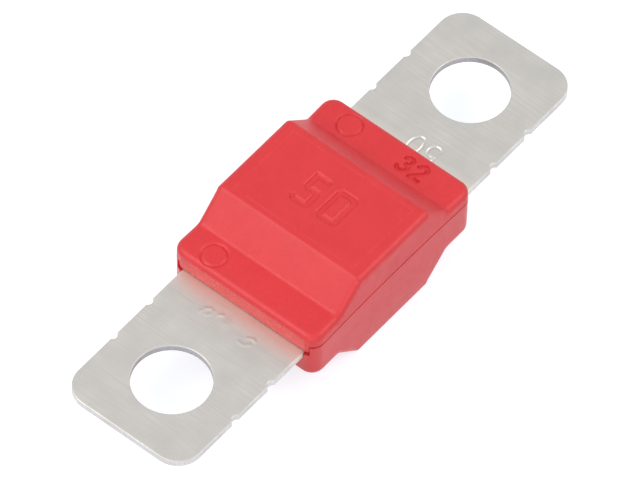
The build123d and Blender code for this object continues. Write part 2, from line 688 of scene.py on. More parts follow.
@dataclass(frozen=True)
class BlockNumeral(Mark):
    """A plain squared numeral: convex outlines that are sunk, less convex outlines that stay standing."""

    sunk: tuple[Outline, ...]
    standing: tuple[Outline, ...] = ()
    inwards: float = 0.0  # how far inside the outlines the mark's edge runs

    @staticmethod
    def convex(outline: Outline, x: np.ndarray, y: np.ndarray) -> np.ndarray:
        """Signed distance to a convex outline.

        Args:
            outline: corner points, anticlockwise.
            x: places along the strip.
            y: places across it.

        Returns:
            The distances, below zero inside.
        """
        result = np.full(np.shape(x), -FAR)
        for (ax, ay), (bx, by) in zip(outline, (*outline[1:], outline[0])):
            length = math.hypot(bx - ax, by - ay)
            result = np.maximum(result, ((x - ax) * (by - ay) - (y - ay) * (bx - ax)) / length)
        return result

    def distance(self, x: np.ndarray, y: np.ndarray) -> np.ndarray:
        """Signed distance to the numeral's edge.

        Args:
            x: places along the strip.
            y: places across it.

        Returns:
            The distances, below zero inside.
        """
        result = np.full(np.shape(x), FAR)
        for outline in self.sunk:
            result = np.minimum(result, self.convex(outline, x, y))
        for outline in self.standing:
            result = np.maximum(result, -self.convex(outline, x, y))
        return result + self.inwards


@dataclass(frozen=True)
class Strokes(Mark):
    """Lines drawn with a round tool, such as plain numerals."""

    lines: tuple[Outline, ...]
    width: float

    def distance(self, x: np.ndarray, y: np.ndarray) -> np.ndarray:
        """Signed distance to the nearest stroke's edge.

        Args:
            x: places along the strip.
            y: places across it.

        Returns:
            The distances, below zero inside.
        """
        nearest = np.full(np.shape(x), FAR)
        for line in self.lines:
            for (ax, ay), (bx, by) in zip(line, line[1:]):
                dx, dy = bx - ax, by - ay
                t = np.clip(((x - ax) * dx + (y - ay) * dy) / (dx * dx + dy * dy), 0, 1)
                nearest = np.minimum(nearest, np.hypot(x - ax - t * dx, y - ay - t * dy))
        return nearest - self.width / 2


@dataclass(frozen=True)
class Lettering:
    """Where a row of numerals stands on a face: its origin, the way it reads, its height and its lean."""

    origin: Point2
    reads: Point2
    rises: Point2
    height: float
    lean: float = 0.0

    def place(self, glyph: Sequence[Point2], start: float) -> Outline:
        """Puts one numeral's centre line on the face.

        Args:
            glyph: points of the centre line, for a height of 1.
            start: where the numeral starts along the row, in heights.

        Returns:
            The points in plan, in millimetres.
        """
        placed = []
        for u, v in glyph:
            along, up = (start + u + self.lean * v) * self.height, v * self.height
            placed.append(tuple(self.origin[k] + self.reads[k] * along + self.rises[k] * up for k in (0, 1)))
        return tuple(placed)


# Centre lines of the drawn numerals, for a height of 1.
NUMERAL_ZERO = arc((0.3, 0.5), (0.26, 0.44), 90, 450, 28)
NUMERAL_TWO = arc((0.31, 0.70), (0.23, 0.22), 165, -35, 12) + [(0.10, 0.10), (0.58, 0.10)]
NUMERAL_THREE = arc((0.30, 0.71), (0.21, 0.20), 160, -80, 12) + arc((0.30, 0.31), (0.25, 0.22), 85, -160, 14)
NUMERAL_FIVE = [(0.52, 0.94), (0.14, 0.94), (0.09, 0.56)] + arc((0.28, 0.32), (0.24, 0.27), 130, -150, 14)

# Outlines of the squared numerals in plan, in millimetres. They read towards -Y and rise towards +X.
BLOCK_FIVE = (
    ((0.97, 0.30), (1.33, 0.30), (1.47, 0.44), (1.47, 1.73), (0.97, 1.73)),
    ((-0.16, 1.20), (1.47, 1.20), (1.47, 1.73), (0.10, 1.73), (-0.16, 1.45)),
    ((-0.16, 0.27), (0.08, 0.27), (0.33, 0.50), (0.33, 1.50), (-0.16, 1.50)),
    ((-1.12, 0.27), (0.12, 0.27), (0.12, 0.80), (-1.38, 0.80), (-1.38, 0.52)),
    ((-1.38, 0.50), (-0.87, 0.50), (-0.87, 1.62), (-1.38, 1.62)),
    ((-1.38, 1.55), (-0.87, 1.55), (-0.64, 1.79), (-0.95, 2.10), (-1.38, 1.72)),
)
BLOCK_ZERO = (
    ((-1.38, -1.72), (-1.08, -2.0), (1.13, -2.0), (1.43, -1.72))
    + ((1.43, -0.50), (1.13, -0.22), (-1.08, -0.22), (-1.38, -0.50)),
)
ZERO_ISLAND = (((-0.87, -1.48), (0.81, -1.48), (0.93, -1.36), (0.93, -0.84), (0.81, -0.72), (-0.87, -0.72)),)


# ---- Moulded covers ------------------------------------------------------------------------------


@dataclass(frozen=True)
class PointRows:
    """How the rows of points are spread over a cover's outside."""

    plateau: int = 9  # rows from its middle to its rounded edge
    rounding: int = 7
    slope: int = 4
    slope_margin: float = 0.3  # the slope's rows stay this far from its ends, in millimetres
    ledge: int = 5
    corner_step: float = 7.5  # degrees
    across: int = 21  # over the plain width
    rim: int = 9
    beside_rim: int = 4
    nearest: float = 0.004  # rows that lie nearer together are merged
    wall: tuple[float, ...] = (0.12, 0.3, 0.55, 0.8, 1.0)  # shares of the way down to the groove
    groove: tuple[float, ...] = (0.5, 1.0)  # shares of the way into the groove


@dataclass
class CoverForm:
    """Outside of one cover: a stepped, drafted block whose every rim is rounded, in millimetres."""

    side: Side
    half_length: float
    half_width: float
    plateau: float
    rim_radius: float
    marks: tuple[Mark, ...] = ()
    patches: tuple[Patch, ...] = ()
    joint: float = 1.0
    ledge: float = 2.05
    plateau_half: float = 3.45
    slope_length: float = 2.04
    corner_radius: float = 1.0
    edge_radius: float = 0.35
    foot_radius: float = 0.36  # across the face
    rim_foot_radius: float = 0.7  # where the slope's foot runs out over the rounded rim
    web_width: float = 0.6  # how far in from the rim the one foot grows into the other
    draft: float = math.tan(math.radians(0.8))
    groove_rise: float = 0.075  # half the height of the fine groove that the joint leaves
    groove_depth: float = 0.28
    sink_at_joint: float = 0.15  # how far the long sides have sunk in, halfway along them
    sink_at_plateau: float = 0.0
    plain_half: float = 4.42  # the rows of points run straight within this distance of the middle line
    spread: PointRows = PointRows()

    @classmethod
    def from_frame(
        cls, side: Side, rim_radius: float, marks: tuple[Mark, ...] = (), patches: tuple[Patch, ...] = ()
    ) -> "CoverForm":
        """Reads the cover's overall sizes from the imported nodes.

        Args:
            side: which cover.
            rim_radius: radius of its outer rims.
            marks: marks on its flat faces.
            patches: finely divided rectangles round the marks.

        Returns:
            The form.
        """
        upper_high = node_box_mm("upper_cover")[1]
        plateau = upper_high[2] if side is Side.UPPER else -node_box_mm("lower_cover")[0][2]
        return cls(side, upper_high[0], upper_high[1], plateau, rim_radius, marks, patches)

    @property
    def slope_angle(self) -> float:
        """How steep the slopes are, in radians."""
        return math.atan2(self.plateau - self.ledge, self.slope_length)

    def profile(self, x: np.ndarray, foot_radius: float) -> tuple[np.ndarray, np.ndarray]:
        """Height of the stepped face above the strip's mid-plane.

        Args:
            x: places along the strip.
            foot_radius: radius of the hollow rounding at the slope's foot.

        Returns:
            The heights, and how much longer than its plan the face is there.
        """
        a = np.abs(x)
        angle = self.slope_angle
        run = math.tan(angle / 2)
        edge, foot = self.plateau_half, self.plateau_half + self.slope_length
        edge_start, edge_end = edge - self.edge_radius * run, edge + self.edge_radius * run * math.cos(angle)
        foot_start, foot_end = foot - foot_radius * run * math.cos(angle), foot + foot_radius * run
        height = np.clip(self.plateau - (a - edge) * math.tan(angle), self.ledge, self.plateau)
        slope = np.where((a > edge_end) & (a < foot_start), math.tan(angle), 0.0)
        round_edge = (a > edge_start) & (a <= edge_end)
        depth = np.sqrt(np.maximum(self.edge_radius**2 - (a - edge_start) ** 2, LEAST))
        height = np.where(round_edge, self.plateau - self.edge_radius + depth, height)
        slope = np.where(round_edge, (a - edge_start) / depth, slope)
        round_foot = (a >= foot_start) & (a < foot_end)
        depth = np.sqrt(np.maximum(foot_radius**2 - (foot_end - a) ** 2, LEAST))
        height = np.where(round_foot, self.ledge + foot_radius - depth, height)
        slope = np.where(round_foot, (foot_end - a) / depth, slope)
        return height, np.sqrt(1 + slope**2)

    def wall_top(self, x: np.ndarray) -> np.ndarray:
        """Height at which the rounded rim starts at each place along the strip."""
        height, stretch = self.profile(x, self.rim_foot_radius)
        return height - self.rim_radius * stretch

    def drawn_in(self, height: np.ndarray) -> np.ndarray:
        """How far the draft has drawn the outline in at a height."""
        return self.draft * np.abs(height - self.side.value * self.joint)

    def sunk(self, x: np.ndarray, height: np.ndarray) -> np.ndarray:
        """How far a long side has sunk in.

        Args:
            x: places along the strip.
            height: heights on the side.

        Returns:
            The depths.
        """
        share = np.clip(np.abs(height - self.side.value * self.joint) / (self.plateau - self.joint), 0, 1)
        depth = self.sink_at_joint + (self.sink_at_plateau - self.sink_at_joint) * share
        return depth * np.maximum(0, 1 - (x / self.half_length) ** 2)

    def outline(self, x: np.ndarray) -> tuple[np.ndarray, np.ndarray, np.ndarray]:
        """Sizes of the outline in plan where the rim starts.

        Args:
            x: places along the strip.

        Returns:
            Half-length, half-width before the corners, and corner radius.
        """
        top = self.wall_top(x)
        end_inset = self.drawn_in(self.wall_top(np.array(self.half_length)))
        half_width = self.half_width - self.drawn_in(top) - self.sunk(x, top)
        return self.half_length - end_inset, half_width, self.corner_radius - end_inset

    def half_width_at(self, x: np.ndarray) -> np.ndarray:
        """Half-width of the outline where the rim starts, corners included.

        Args:
            x: places along the strip.

        Returns:
            The half-widths.
        """
        length, width, radius = self.outline(x)
        past = np.clip(np.abs(x) - (length - radius), 0, radius)
        return width - radius + np.sqrt(np.maximum(radius**2 - past**2, 0))

    def surface(self, x: np.ndarray, y: np.ndarray) -> np.ndarray:
        """Height of the outside above the strip's mid-plane, marks included.

        Args:
            x: places along the strip.
            y: places across it.

        Returns:
            The heights, above zero on either cover.
        """
        height, _ = self.profile(x, self.foot_radius)
        rim_height, stretch = self.profile(x, self.rim_foot_radius)
        length, width, radius = self.outline(x)
        qx, qy = np.abs(x) - (length - radius), np.abs(y) - (width - radius)
        depth_in = radius - np.hypot(np.maximum(qx, 0), np.maximum(qy, 0)) - np.minimum(np.maximum(qx, qy), 0)
        web = smooth_step(self.rim_radius + self.web_width / 2 - depth_in, self.web_width / 2)
        height = height + (rim_height - height) * web
        t = np.clip(self.rim_radius - depth_in, 0, self.rim_radius)
        drop = (self.rim_radius - np.sqrt(np.maximum(self.rim_radius**2 - t**2, 0))) * stretch
        return height - drop - total_sink(self.marks, x, y)

    def with_patches(self, values: np.ndarray, axis: int) -> np.ndarray:
        """Adds the patches' edges to the rows' places along one axis, and merges near ones."""
        edges = [(patch.low[axis], patch.high[axis]) for patch in self.patches]
        return merged(np.concatenate([values, *edges]), self.spread.nearest)

    def stations(self) -> np.ndarray:
        """Places along the strip where a row of points runs across, close together on every rounding.

        Returns:
            The places, rising.
        """
        spread = self.spread
        run = math.tan(self.slope_angle / 2)
        turn = np.sin(np.linspace(0, self.slope_angle, spread.rounding))
        edge, foot = self.plateau_half, self.plateau_half + self.slope_length
        edge_start, foot_end = edge - self.edge_radius * run, foot + self.rim_foot_radius * run
        length, _, radius = self.outline(np.array(self.half_length))
        corner = length - radius
        half = [
            np.linspace(0, edge_start, spread.plateau),
            edge_start + self.edge_radius * turn,
            np.linspace(edge + spread.slope_margin, foot - spread.slope_margin, spread.slope),
            foot + self.foot_radius * (run - turn),
            foot + self.rim_foot_radius * (run - turn),
            np.linspace(foot_end, corner, spread.ledge),
            corner + radius * np.sin(np.radians(np.arange(0, 91, spread.corner_step))),
        ]
        values = np.concatenate(half)
        return self.with_patches(np.concatenate([values, -values]), 0)

    def columns(self, x: float, rows: np.ndarray) -> np.ndarray:
        """Places across the strip of one row of points, from rim to rim.

        Args:
            x: place of the row along the strip.
            rows: places within the plain width, the same for every row.

        Returns:
            The places, rising.
        """
        width = float(self.half_width_at(np.array(x)))
        rim = width - self.rim_radius * (1 - np.cos(np.radians(np.linspace(0, 90, self.spread.rim))))
        between = np.linspace(rim[-1], self.plain_half, self.spread.beside_rim)[1:-1]
        outer = np.concatenate([rim, between])
        return np.concatenate([-outer, rows, outer[::-1]])

    def build(self, name: str) -> Body:
        """Makes the outside as a closed solid with a flat face at the joint.

        Args:
            name: name of the object.

        Returns:
            The solid.
        """
        quilt = Quilt()
        rows = self.with_patches(np.linspace(-self.plain_half, self.plain_half, self.spread.across), 1)
        xs = self.stations()
        plan_y = np.array([self.columns(x, rows) for x in xs])
        plan_x = np.repeat(xs[:, None], plan_y.shape[1], axis=1)
        grid = quilt.add(np.stack([plan_x, plan_y, self.side.value * self.surface(plan_x, plan_y)], -1))
        skip = np.zeros((len(xs) - 1, plan_y.shape[1] - 1), bool)
        for patch in self.patches:
            self.lay_patch(quilt, patch, grid, (xs, plan_y[len(xs) // 2]), skip)
        quilt.sheet(grid, skip)
        self.hang_walls(quilt, np.concatenate([grid[0, :-1], grid[:-1, -1], grid[-1, :0:-1], grid[:0:-1, 0]]))
        return quilt.to_object(name)

    def lay_patch(
        self, quilt: Quilt, patch: Patch, grid: np.ndarray, places: Sequence[np.ndarray], skip: np.ndarray
    ) -> None:
        """Lays a fine sheet of points in a rectangle of the face and joins it to the coarse rows round it.

        Args:
            quilt: mesh in the making.
            patch: rectangle and pitch.
            grid: indices of the coarse points.
            places: places of the coarse points along the strip and across its middle.
            skip: coarse cells to leave out, which this adds to.
        """
        (i0, j0), (i1, j1) = (
            [int(np.abs(axis - value).argmin()) for axis, value in zip(places, corner)]
            for corner in (patch.low, patch.high)
        )
        skip[i0:i1, j0:j1] = True
        rim = np.concatenate([grid[i0:i1, j0], grid[i1, j0:j1], grid[i1:i0:-1, j1], grid[i0, j1:j0:-1]])
        quilt.fill(rim, [quilt.fine_sheet(patch, lambda x, y: self.side.value * self.surface(x, y))])

    def hang_walls(self, quilt: Quilt, loop: np.ndarray) -> None:
        """Adds the drafted walls from the rim to the joint, the joint's fine groove and the flat joint face.

        Args:
            quilt: mesh in the making.
            loop: indices of the points where the rim meets the walls.
        """
        x, y, z = np.concatenate(quilt.points)[loop].T
        length, _, radius = self.outline(np.array(self.half_length))
        nx = np.sign(x) * np.clip((np.abs(x) - (length - radius)) / radius, 0, 1)
        normal = np.stack([nx, np.sign(y) * np.sqrt(1 - nx**2)], 1)
        at_end = np.abs(np.abs(x) - length) < TINY
        normal[at_end] = np.stack([np.sign(x[at_end]), np.zeros(at_end.sum())], 1)
        sign = self.side.value
        height, joint = sign * z, sign * self.joint
        start = joint + self.groove_rise
        levels = [(height + (start - height) * share, 0.0) for share in self.spread.wall]
        for share in self.spread.groove:
            level = joint + self.groove_rise * (1 - share)
            levels.append((np.full_like(height, level), self.groove_depth * share))
        ring = loop
        for level, inwards in levels:
            out = self.drawn_in(height) - self.drawn_in(level) - inwards
            plan = np.stack([x, y], 1) + normal * out[:, None]
            drift = self.sunk(x, height) - self.sunk(x, level)
            plan[:, 1] += np.sign(y) * np.where(np.abs(nx) < LEAST, drift, drift * np.abs(normal[:, 1]))
            lower = quilt.add(np.column_stack([plan, sign * level]))
            quilt.band(ring, lower)
            ring = lower
        quilt.cap(ring)


@dataclass
class Covers:
    """The two moulded covers, with slot, tongue, clamp pads, chamber, pegs and sockets, in millimetres."""

    upper_plastic: Material
    lower_plastic: Material
    upper_rim: float = 0.45  # radius of the outer rims
    lower_rim: float = 0.52
    clamp_land: float = 3.15
    wall: float = 1.0
    chamber_half_width: float = 4.6
    lip: float = 0.55
    tongue_clearance: float = 0.03
    tongue_setback: float = 0.05
    tongue_draft: float = 0.07  # how much further in the tongue's end stands at its foot
    tongue_corner: float = 0.13
    tongue_steps: tuple[int, int] = (6, 8)  # round the large corner and the small one
    lip_corner: float = 0.14
    lip_steps: int = 6
    strip_clearance: float = 0.05
    recess_rise: float = 0.1
    mouth_gap: float = 0.09
    mouth_depth: float = 0.6
    pad_half_width: float = 5.0
    peg_radius: float = 0.7
    peg_inset: float = 1.55
    peg_spacing: float = 6.4
    peg_lead_in: float = 0.2
    peg_root: float = 0.3  # how far a peg runs into the cover's floor
    peg_end_clearance: float = 0.1
    socket_depth: float = 1.0
    socket_clearance: float = 0.05
    socket_lead_in: float = 0.05
    overlap: float = 0.2  # how far a solid that is added runs into what it joins
    overrun: float = 1.0  # how far a solid that cuts runs past what it cuts
    number_rim: Point2 = (0.04, 0.055)  # depth and softness of the plateau's number, at its rims
    number_wall: Point2 = (0.095, 0.035)  # depth and softness of its steep walls
    number_wall_inwards: float = 0.08
    crease: float = 48.0  # degrees

    def marks(self) -> tuple[tuple[Mark, ...], tuple[Patch, ...]]:
        """What is moulded into the upper cover: two plain numbers and two round witness grooves.

        Returns:
            The marks, and the finely divided rectangles that carry them.
        """
        row = Lettering(origin=(5.90, -0.82), reads=(0, -1), rises=(1, 0), height=1.48, lean=0.13)
        numerals = (row.place(NUMERAL_THREE, 0.0), row.place(NUMERAL_TWO, 0.76))
        marks = (
            BlockNumeral(*self.number_rim, BLOCK_FIVE),
            BlockNumeral(*self.number_rim, BLOCK_ZERO, ZERO_ISLAND),
            BlockNumeral(*self.number_wall, BLOCK_FIVE, (), self.number_wall_inwards),
            BlockNumeral(*self.number_wall, BLOCK_ZERO, ZERO_ISLAND, self.number_wall_inwards),
            Strokes(depth=0.22, softness=0.05, lines=numerals, width=0.27),
            Ring(depth=0.15, softness=0.11, centre=(-6.78, 3.35), radius=0.87, width=0.09),
            Ring(depth=0.17, softness=0.11, centre=(6.78, 3.35), radius=0.87, width=0.09),
        )
        patches = (
            Patch((-1.75, -2.35), (1.80, 2.40), 0.03),
            Patch((-7.84, 2.28), (-5.72, 4.41), 0.045),
            Patch((5.72, 2.28), (7.84, 4.41), 0.045),
            Patch((5.72, -3.25), (7.58, -0.60), 0.04),
        )
        return marks, patches

    def chamber(self, form: CoverForm) -> Body:
        """Makes the hollow round the melting link, one wall inside the slopes.

        Args:
            form: outside of the cover that it is cut from.

        Returns:
            The hollow as a solid.
        """
        angle = form.slope_angle
        drop = self.wall / math.cos(angle)
        end = form.half_length - self.clamp_land
        ceiling = form.plateau - self.wall
        ceiling_end = form.plateau_half - (drop - self.wall) / math.tan(angle)
        shoulder = form.plateau - drop - (end - form.plateau_half) * math.tan(angle)
        outline = [(-end, shoulder), (-ceiling_end, ceiling), (ceiling_end, ceiling), (end, shoulder)]
        outline += [(x, -z) for x, z in reversed(outline)]
        half = self.chamber_half_width
        return loft("chamber", *(np.array([(x, y, z) for x, z in outline]) for y in (-half, half)))

    def pegs(self, form: CoverForm, name: str, grow: float, foot: float, top: float, lead_in: float) -> Body:
        """Makes the four locating pegs, or with some growth the sockets that take them.

        Args:
            form: outside of the cover.
            name: name of the object.
            grow: added to the pegs' radius.
            foot: height of their feet.
            top: height of their tops.
            lead_in: size of the bevel at their tops.

        Returns:
            The pegs as one mesh.
        """
        spacing = 2 * (form.half_length - self.peg_inset)
        array = PegArray(spacing, self.peg_spacing, self.peg_radius + grow, foot, top, lead_in)
        return array.build(name, self.lower_plastic)

    def tongue_plan(self, form: CoverForm) -> np.ndarray:
        """Plan of the tongue: it follows the cover's corners and ends them in small ones at its long sides.

        Args:
            form: outside of the upper cover.

        Returns:
            Corner points, anticlockwise.
        """
        radius = form.corner_radius
        x, y = form.half_length - self.tongue_setback - radius, form.half_width - radius
        rise = form.half_width - self.lip - self.tongue_clearance - self.tongue_corner - y
        reach = math.asin(rise / (radius - self.tongue_corner))
        run = (radius - self.tongue_corner) * math.cos(reach)
        large = arc((x, y), radius, 0, math.degrees(reach), self.tongue_steps[0])
        small = arc((x + run, y + rise), self.tongue_corner, math.degrees(reach), 90, self.tongue_steps[1])
        quarter = np.array(large + small[1:])
        return np.concatenate([quarter, quarter[::-1] * (-1, 1), quarter * (-1, -1), quarter[::-1] * (1, -1)])

    def slot_plan(self, form: CoverForm, past_end: float) -> np.ndarray:
        """Plan of the slot for the tongue, flared at both ends where the lip's inner corners are rounded.

        Args:
            form: outside of the lower cover.
            past_end: how far along the strip the plan reaches.

        Returns:
            Corner points, anticlockwise.
        """
        half = form.half_width - self.lip
        face = form.half_length - form.corner_radius
        face += math.sqrt(form.corner_radius**2 - (half - form.half_width + form.corner_radius) ** 2)
        flare = arc((face - self.lip_corner, half + self.lip_corner), self.lip_corner, -90, 0, self.lip_steps)
        quarter = np.array(flare + [(past_end, half + self.lip_corner)])
        return np.concatenate([quarter[::-1], quarter * (-1, 1), quarter[::-1] * (-1, -1), quarter * (1, -1)])

    def build_upper(self) -> Body:
        """Makes the upper cover: outside, tongue, clamp pads, chamber and sockets.

        Returns:
            The cover.
        """
        form = CoverForm.from_frame(Side.UPPER, self.upper_rim, *self.marks())
        cover = form.build("upper_cover_moulding")
        strip_top = float(node_box_mm("fuse_element")[1][2])
        mouth_top = strip_top + self.mouth_gap
        plan = self.tongue_plan(form)
        foot = plan - np.sign(plan) * (self.tongue_draft, 0)
        combine(cover, prism("tongue", plan, mouth_top, form.joint + self.overlap, foot), Cut.ADD)
        pad_end = form.half_length - self.mouth_depth
        pads = block("pads", pad_end, self.pad_half_width, strip_top, mouth_top + self.overlap)
        combine(cover, pads, Cut.ADD)
        combine(cover, self.chamber(form), Cut.REMOVE)
        heights = (strip_top - self.overrun / 2, strip_top + self.socket_depth)
        sockets = self.pegs(form, "sockets", self.socket_clearance, *heights, self.socket_lead_in)
        combine(cover, sockets, Cut.REMOVE)
        return cover

    def build_lower(self) -> Body:
        """Makes the lower cover: outside, slot, strip recess, chamber and pegs.

        Returns:
            The cover.
        """
        form = CoverForm.from_frame(Side.LOWER, self.lower_rim)
        cover = form.build("lower_cover_moulding")
        strip_low, strip_high = node_box_mm("fuse_element")
        floor = float(strip_low[2])
        past_end = form.half_length + self.overrun
        slot = prism("slot", self.slot_plan(form, past_end), self.recess_rise, form.joint + self.overrun)
        combine(cover, slot, Cut.REMOVE)
        recess_half = float(strip_high[1]) + self.strip_clearance
        recess = block("recess", past_end, recess_half, floor, self.recess_rise + self.overrun / 2)
        combine(cover, recess, Cut.REMOVE)
        combine(cover, self.chamber(form), Cut.REMOVE)
        top = float(strip_high[2]) + self.socket_depth - self.peg_end_clearance
        combine(cover, self.pegs(form, "pegs", 0.0, floor - self.peg_root, top, self.peg_lead_in), Cut.ADD)
        return cover

    def build(self) -> None:
        """Makes and dresses both covers."""
        upper = (self.build_upper(), "upper_cover", self.upper_plastic)
        lower = (self.build_lower(), "lower_cover", self.lower_plastic)
        for cover, node, plastic in (upper, lower):
            dress(cover, plastic)
            finish_piece(cover, node, Slot.COVER, self.crease)


# ---- Stamped strip -------------------------------------------------------------------------------


@dataclass
class Strip:
    """The stamped strip: two blades with stud holes and nicks, and the melting link, in millimetres."""

    face: Material
    cut_edge: Material
    # the stud holes' walls: the cut edges' finish, darker as painted shade inside the holes
    hole_wall: Material
    stud_spacing: float = 30.0
    stud_hole: float = 2.65  # radius
    corner_radius: float = 1.8
    nick_width: float = 0.65
    nick_depth: float = 0.2
    nick_inset: float = 0.3
    nick_pitch: float = 3.5
    window_half: float = 4.5
    peg_hole: float = 0.8  # radius
    peg_place: Point2 = (6.5, 3.2)
    roll_width: float = 0.16
    roll_depth: float = 0.035
    roll_steps: int = 6
    nick_steps: int = 10
    corner_steps: int = 16
    stud_steps: int = 72
    pad_steps: int = 48
    small_steps: int = 32  # round a peg's hole and the pill's
    link_pitch: float = 2.3
    link_reach: float = 2.6
    link_width: float = 1.1
    pad_radius: float = 1.0
    shank_radius: float = 0.45
    overrun: float = 1.0  # how far a solid that cuts runs past what it cuts
    upright: float = 0.35  # a face whose normal rises less than this is a cut edge
    hole_margin: float = 0.01
    crease: float = 40.0  # degrees

    def outline(self, half_length: float, half_width: float) -> np.ndarray:
        """Outline of the right-hand blade.

        Args:
            half_length: from the strip's middle to the blade's end.
            half_width: half of the strip's width.

        Returns:
            Corner points, anticlockwise.
        """
        radius = (self.nick_width**2 / 4 + self.nick_depth**2) / (2 * self.nick_depth)
        reach = math.degrees(math.asin(self.nick_width / 2 / radius))
        outer = self.stud_spacing / 2 - self.nick_inset
        middle = half_width + radius - self.nick_depth
        centre = (half_length - self.corner_radius, half_width - self.corner_radius)
        points = [(self.window_half, -half_width)]
        for x in (outer - self.nick_pitch, outer):
            points += arc((x, -middle), radius, 90 + reach, 90 - reach, self.nick_steps)
        points += arc((centre[0], -centre[1]), self.corner_radius, -90, 0, self.corner_steps)
        points += arc(centre, self.corner_radius, 0, 90, self.corner_steps)
        for x in (outer, outer - self.nick_pitch):
            points += arc((x, middle), radius, -90 + reach, -90 - reach, self.nick_steps)
        points += [(self.window_half, half_width)]
        return np.array(points)

    def roll(self) -> list[Point2]:
        """Steps of the rounded edge that the punch leaves.

        Returns:
            For each step, how far in from the edge it lies, and how far down.
        """
        turns = np.radians(np.linspace(0, 90, self.roll_steps + 1))
        return [(self.roll_width * (1 - math.cos(t)), self.roll_depth * (1 - math.sin(t))) for t in turns]

    def blade(self, name: str, mirror: float, marks: tuple[Mark, ...], patches: tuple[Patch, ...]) -> Body:
        """Makes one blade as a closed solid.

        Args:
            name: name of the object.
            mirror: 1 for the right-hand blade, -1 for the left-hand one.
            marks: what is punched into its top face.
            patches: finely divided rectangles round the marks.

        Returns:
            The blade.
        """
        low, high = node_box_mm("fuse_element")
        top, bottom = float(high[2]), float(low[2])
        side = np.array([mirror, 1.0])
        quilt = Quilt()

        def ring(plan: np.ndarray, z: float) -> np.ndarray:
            """Adds an outline at a height, and gives its indices."""
            return quilt.add(np.column_stack([plan * side, np.full(len(plan), z)]))

        def walls(plan: np.ndarray, steps: Sequence[Point2]) -> tuple[np.ndarray, np.ndarray]:
            """Adds the wall over an outline.

            Args:
                plan: the outline.
                steps: how far inside the outline each ring of the rounded edge lies, and how far down.

            Returns:
                Indices of the highest ring, and of the foot.
            """
            rings = [ring(inset(plan, inwards), top - down) for inwards, down in steps]
            for first, second in zip(rings, rings[1:]):
                quilt.band(first, second)
            foot = ring(plan, bottom)
            quilt.band(foot, rings[0])
            return rings[-1], foot

        outer = self.outline(float(high[0]), float(high[1]))
        stud = circle((self.stud_spacing / 2, 0), self.stud_hole, self.stud_steps)
        outer_top, outer_foot = walls(outer, self.roll())
        stud_top, stud_foot = walls(stud, [(-inwards, down) for inwards, down in self.roll()])
        places = ((self.peg_place[0], sign * self.peg_place[1]) for sign in (1, -1))
        pegs = [circle(place, self.peg_hole, self.small_steps) for place in places]
        peg_tops, peg_feet = ([ring(peg, z) for peg in pegs] for z in (top, bottom))
        for first, second in zip(peg_tops, peg_feet):
            quilt.band(first, second)
        edges = [quilt.fine_sheet(patch, lambda x, y: top - total_sink(marks, x, y)) for patch in patches]
        quilt.fill(outer_top, [stud_top, *peg_tops, *edges])
        quilt.fill(outer_foot, [stud_foot, *peg_feet])
        return quilt.to_object(name)

    def punched(self) -> tuple[tuple[Mark, ...], tuple[Patch, ...]]:
        """The plain number punched into the right-hand blade, beside the body.

        Returns:
            The marks, and the finely divided rectangle that carries them.
        """
        row = Lettering(origin=(10.12, -1.92), reads=(0, 1), rises=(-1, 0), height=1.72)
        lines = (row.place(NUMERAL_FIVE, 0.02), row.place(NUMERAL_ZERO, 0.76))
        marks = (Strokes(depth=0.06, softness=0.05, lines=lines, width=0.15),)
        return marks, (Patch((8.2, -2.2), (10.4, 0.7), 0.04),)

    def bumps(self) -> tuple[tuple[Mark, ...], tuple[Patch, ...]]:
        """Soft low ridges on the left-hand blade, beside the body.

        Returns:
            The marks, and the finely divided rectangle that carries them.
        """
        ridges = (
            ((-9.80, 2.05), (-9.35, 1.95), (-9.15, 1.65)),
            ((-9.70, 1.55), (-9.50, 1.35), (-9.20, 1.40)),
            ((-9.25, 0.95), (-9.05, 0.75)),
            ((-10.00, -1.35), (-10.05, -1.75), (-9.75, -2.05)),
            ((-9.45, -1.60), (-9.25, -1.95), (-9.35, -2.15)),
        )
        boss = Disc(depth=-0.025, softness=0.35, centre=(-9.5, 0.2), radius=0.3)
        marks = (Strokes(depth=-0.03, softness=0.14, lines=ridges, width=0.14), boss)
        return marks, (Patch((-10.4, -2.5), (-8.5, 2.4), 0.06),)

    def build(self) -> None:
        """Makes the strip in one piece and dresses it."""
        low, high = node_box_mm("fuse_element")
        bottom, top = float(low[2]), float(high[2])
        strip = self.blade("strip_stamping", 1.0, *self.punched())
        combine(strip, self.blade("left_blade", -1.0, *self.bumps()), Cut.ADD)
        thickness = float(high[2] - low[2])
        link = LinkSweep(self.window_half, self.link_pitch, self.link_reach, self.link_width, thickness)
        combine(strip, link.build("melting_link", self.face), Cut.ADD)
        combine(strip, prism("pad", circle((0, 0), self.pad_radius, self.pad_steps), bottom, top), Cut.ADD)
        shank = circle((0, 0), self.shank_radius, self.small_steps)
        combine(strip, prism("shank", shank, bottom - self.overrun, top + self.overrun), Cut.REMOVE)
        dress(strip, self.face, self.cut_edge, self.hole_wall)
        # upright faces in a stud hole take the finish with painted shade, other upright faces the cut edge's
        for face in strip.data.polygons:
            reach = math.hypot(abs(face.center.x) - self.stud_spacing / 2, face.center.y)
            in_hole = reach < self.stud_hole + self.hole_margin
            face.material_index = 0 if abs(face.normal.z) >= self.upright else 2 if in_hole else 1
        finish_piece(strip, "fuse_element", Slot.STRIP, self.crease)


# ---- Finishes ------------------------------------------------------------------------------------


# Levels of noise between which an effect goes from none to all.
NARROW = (0.35, 0.65)
WIDE = (0.3, 0.7)


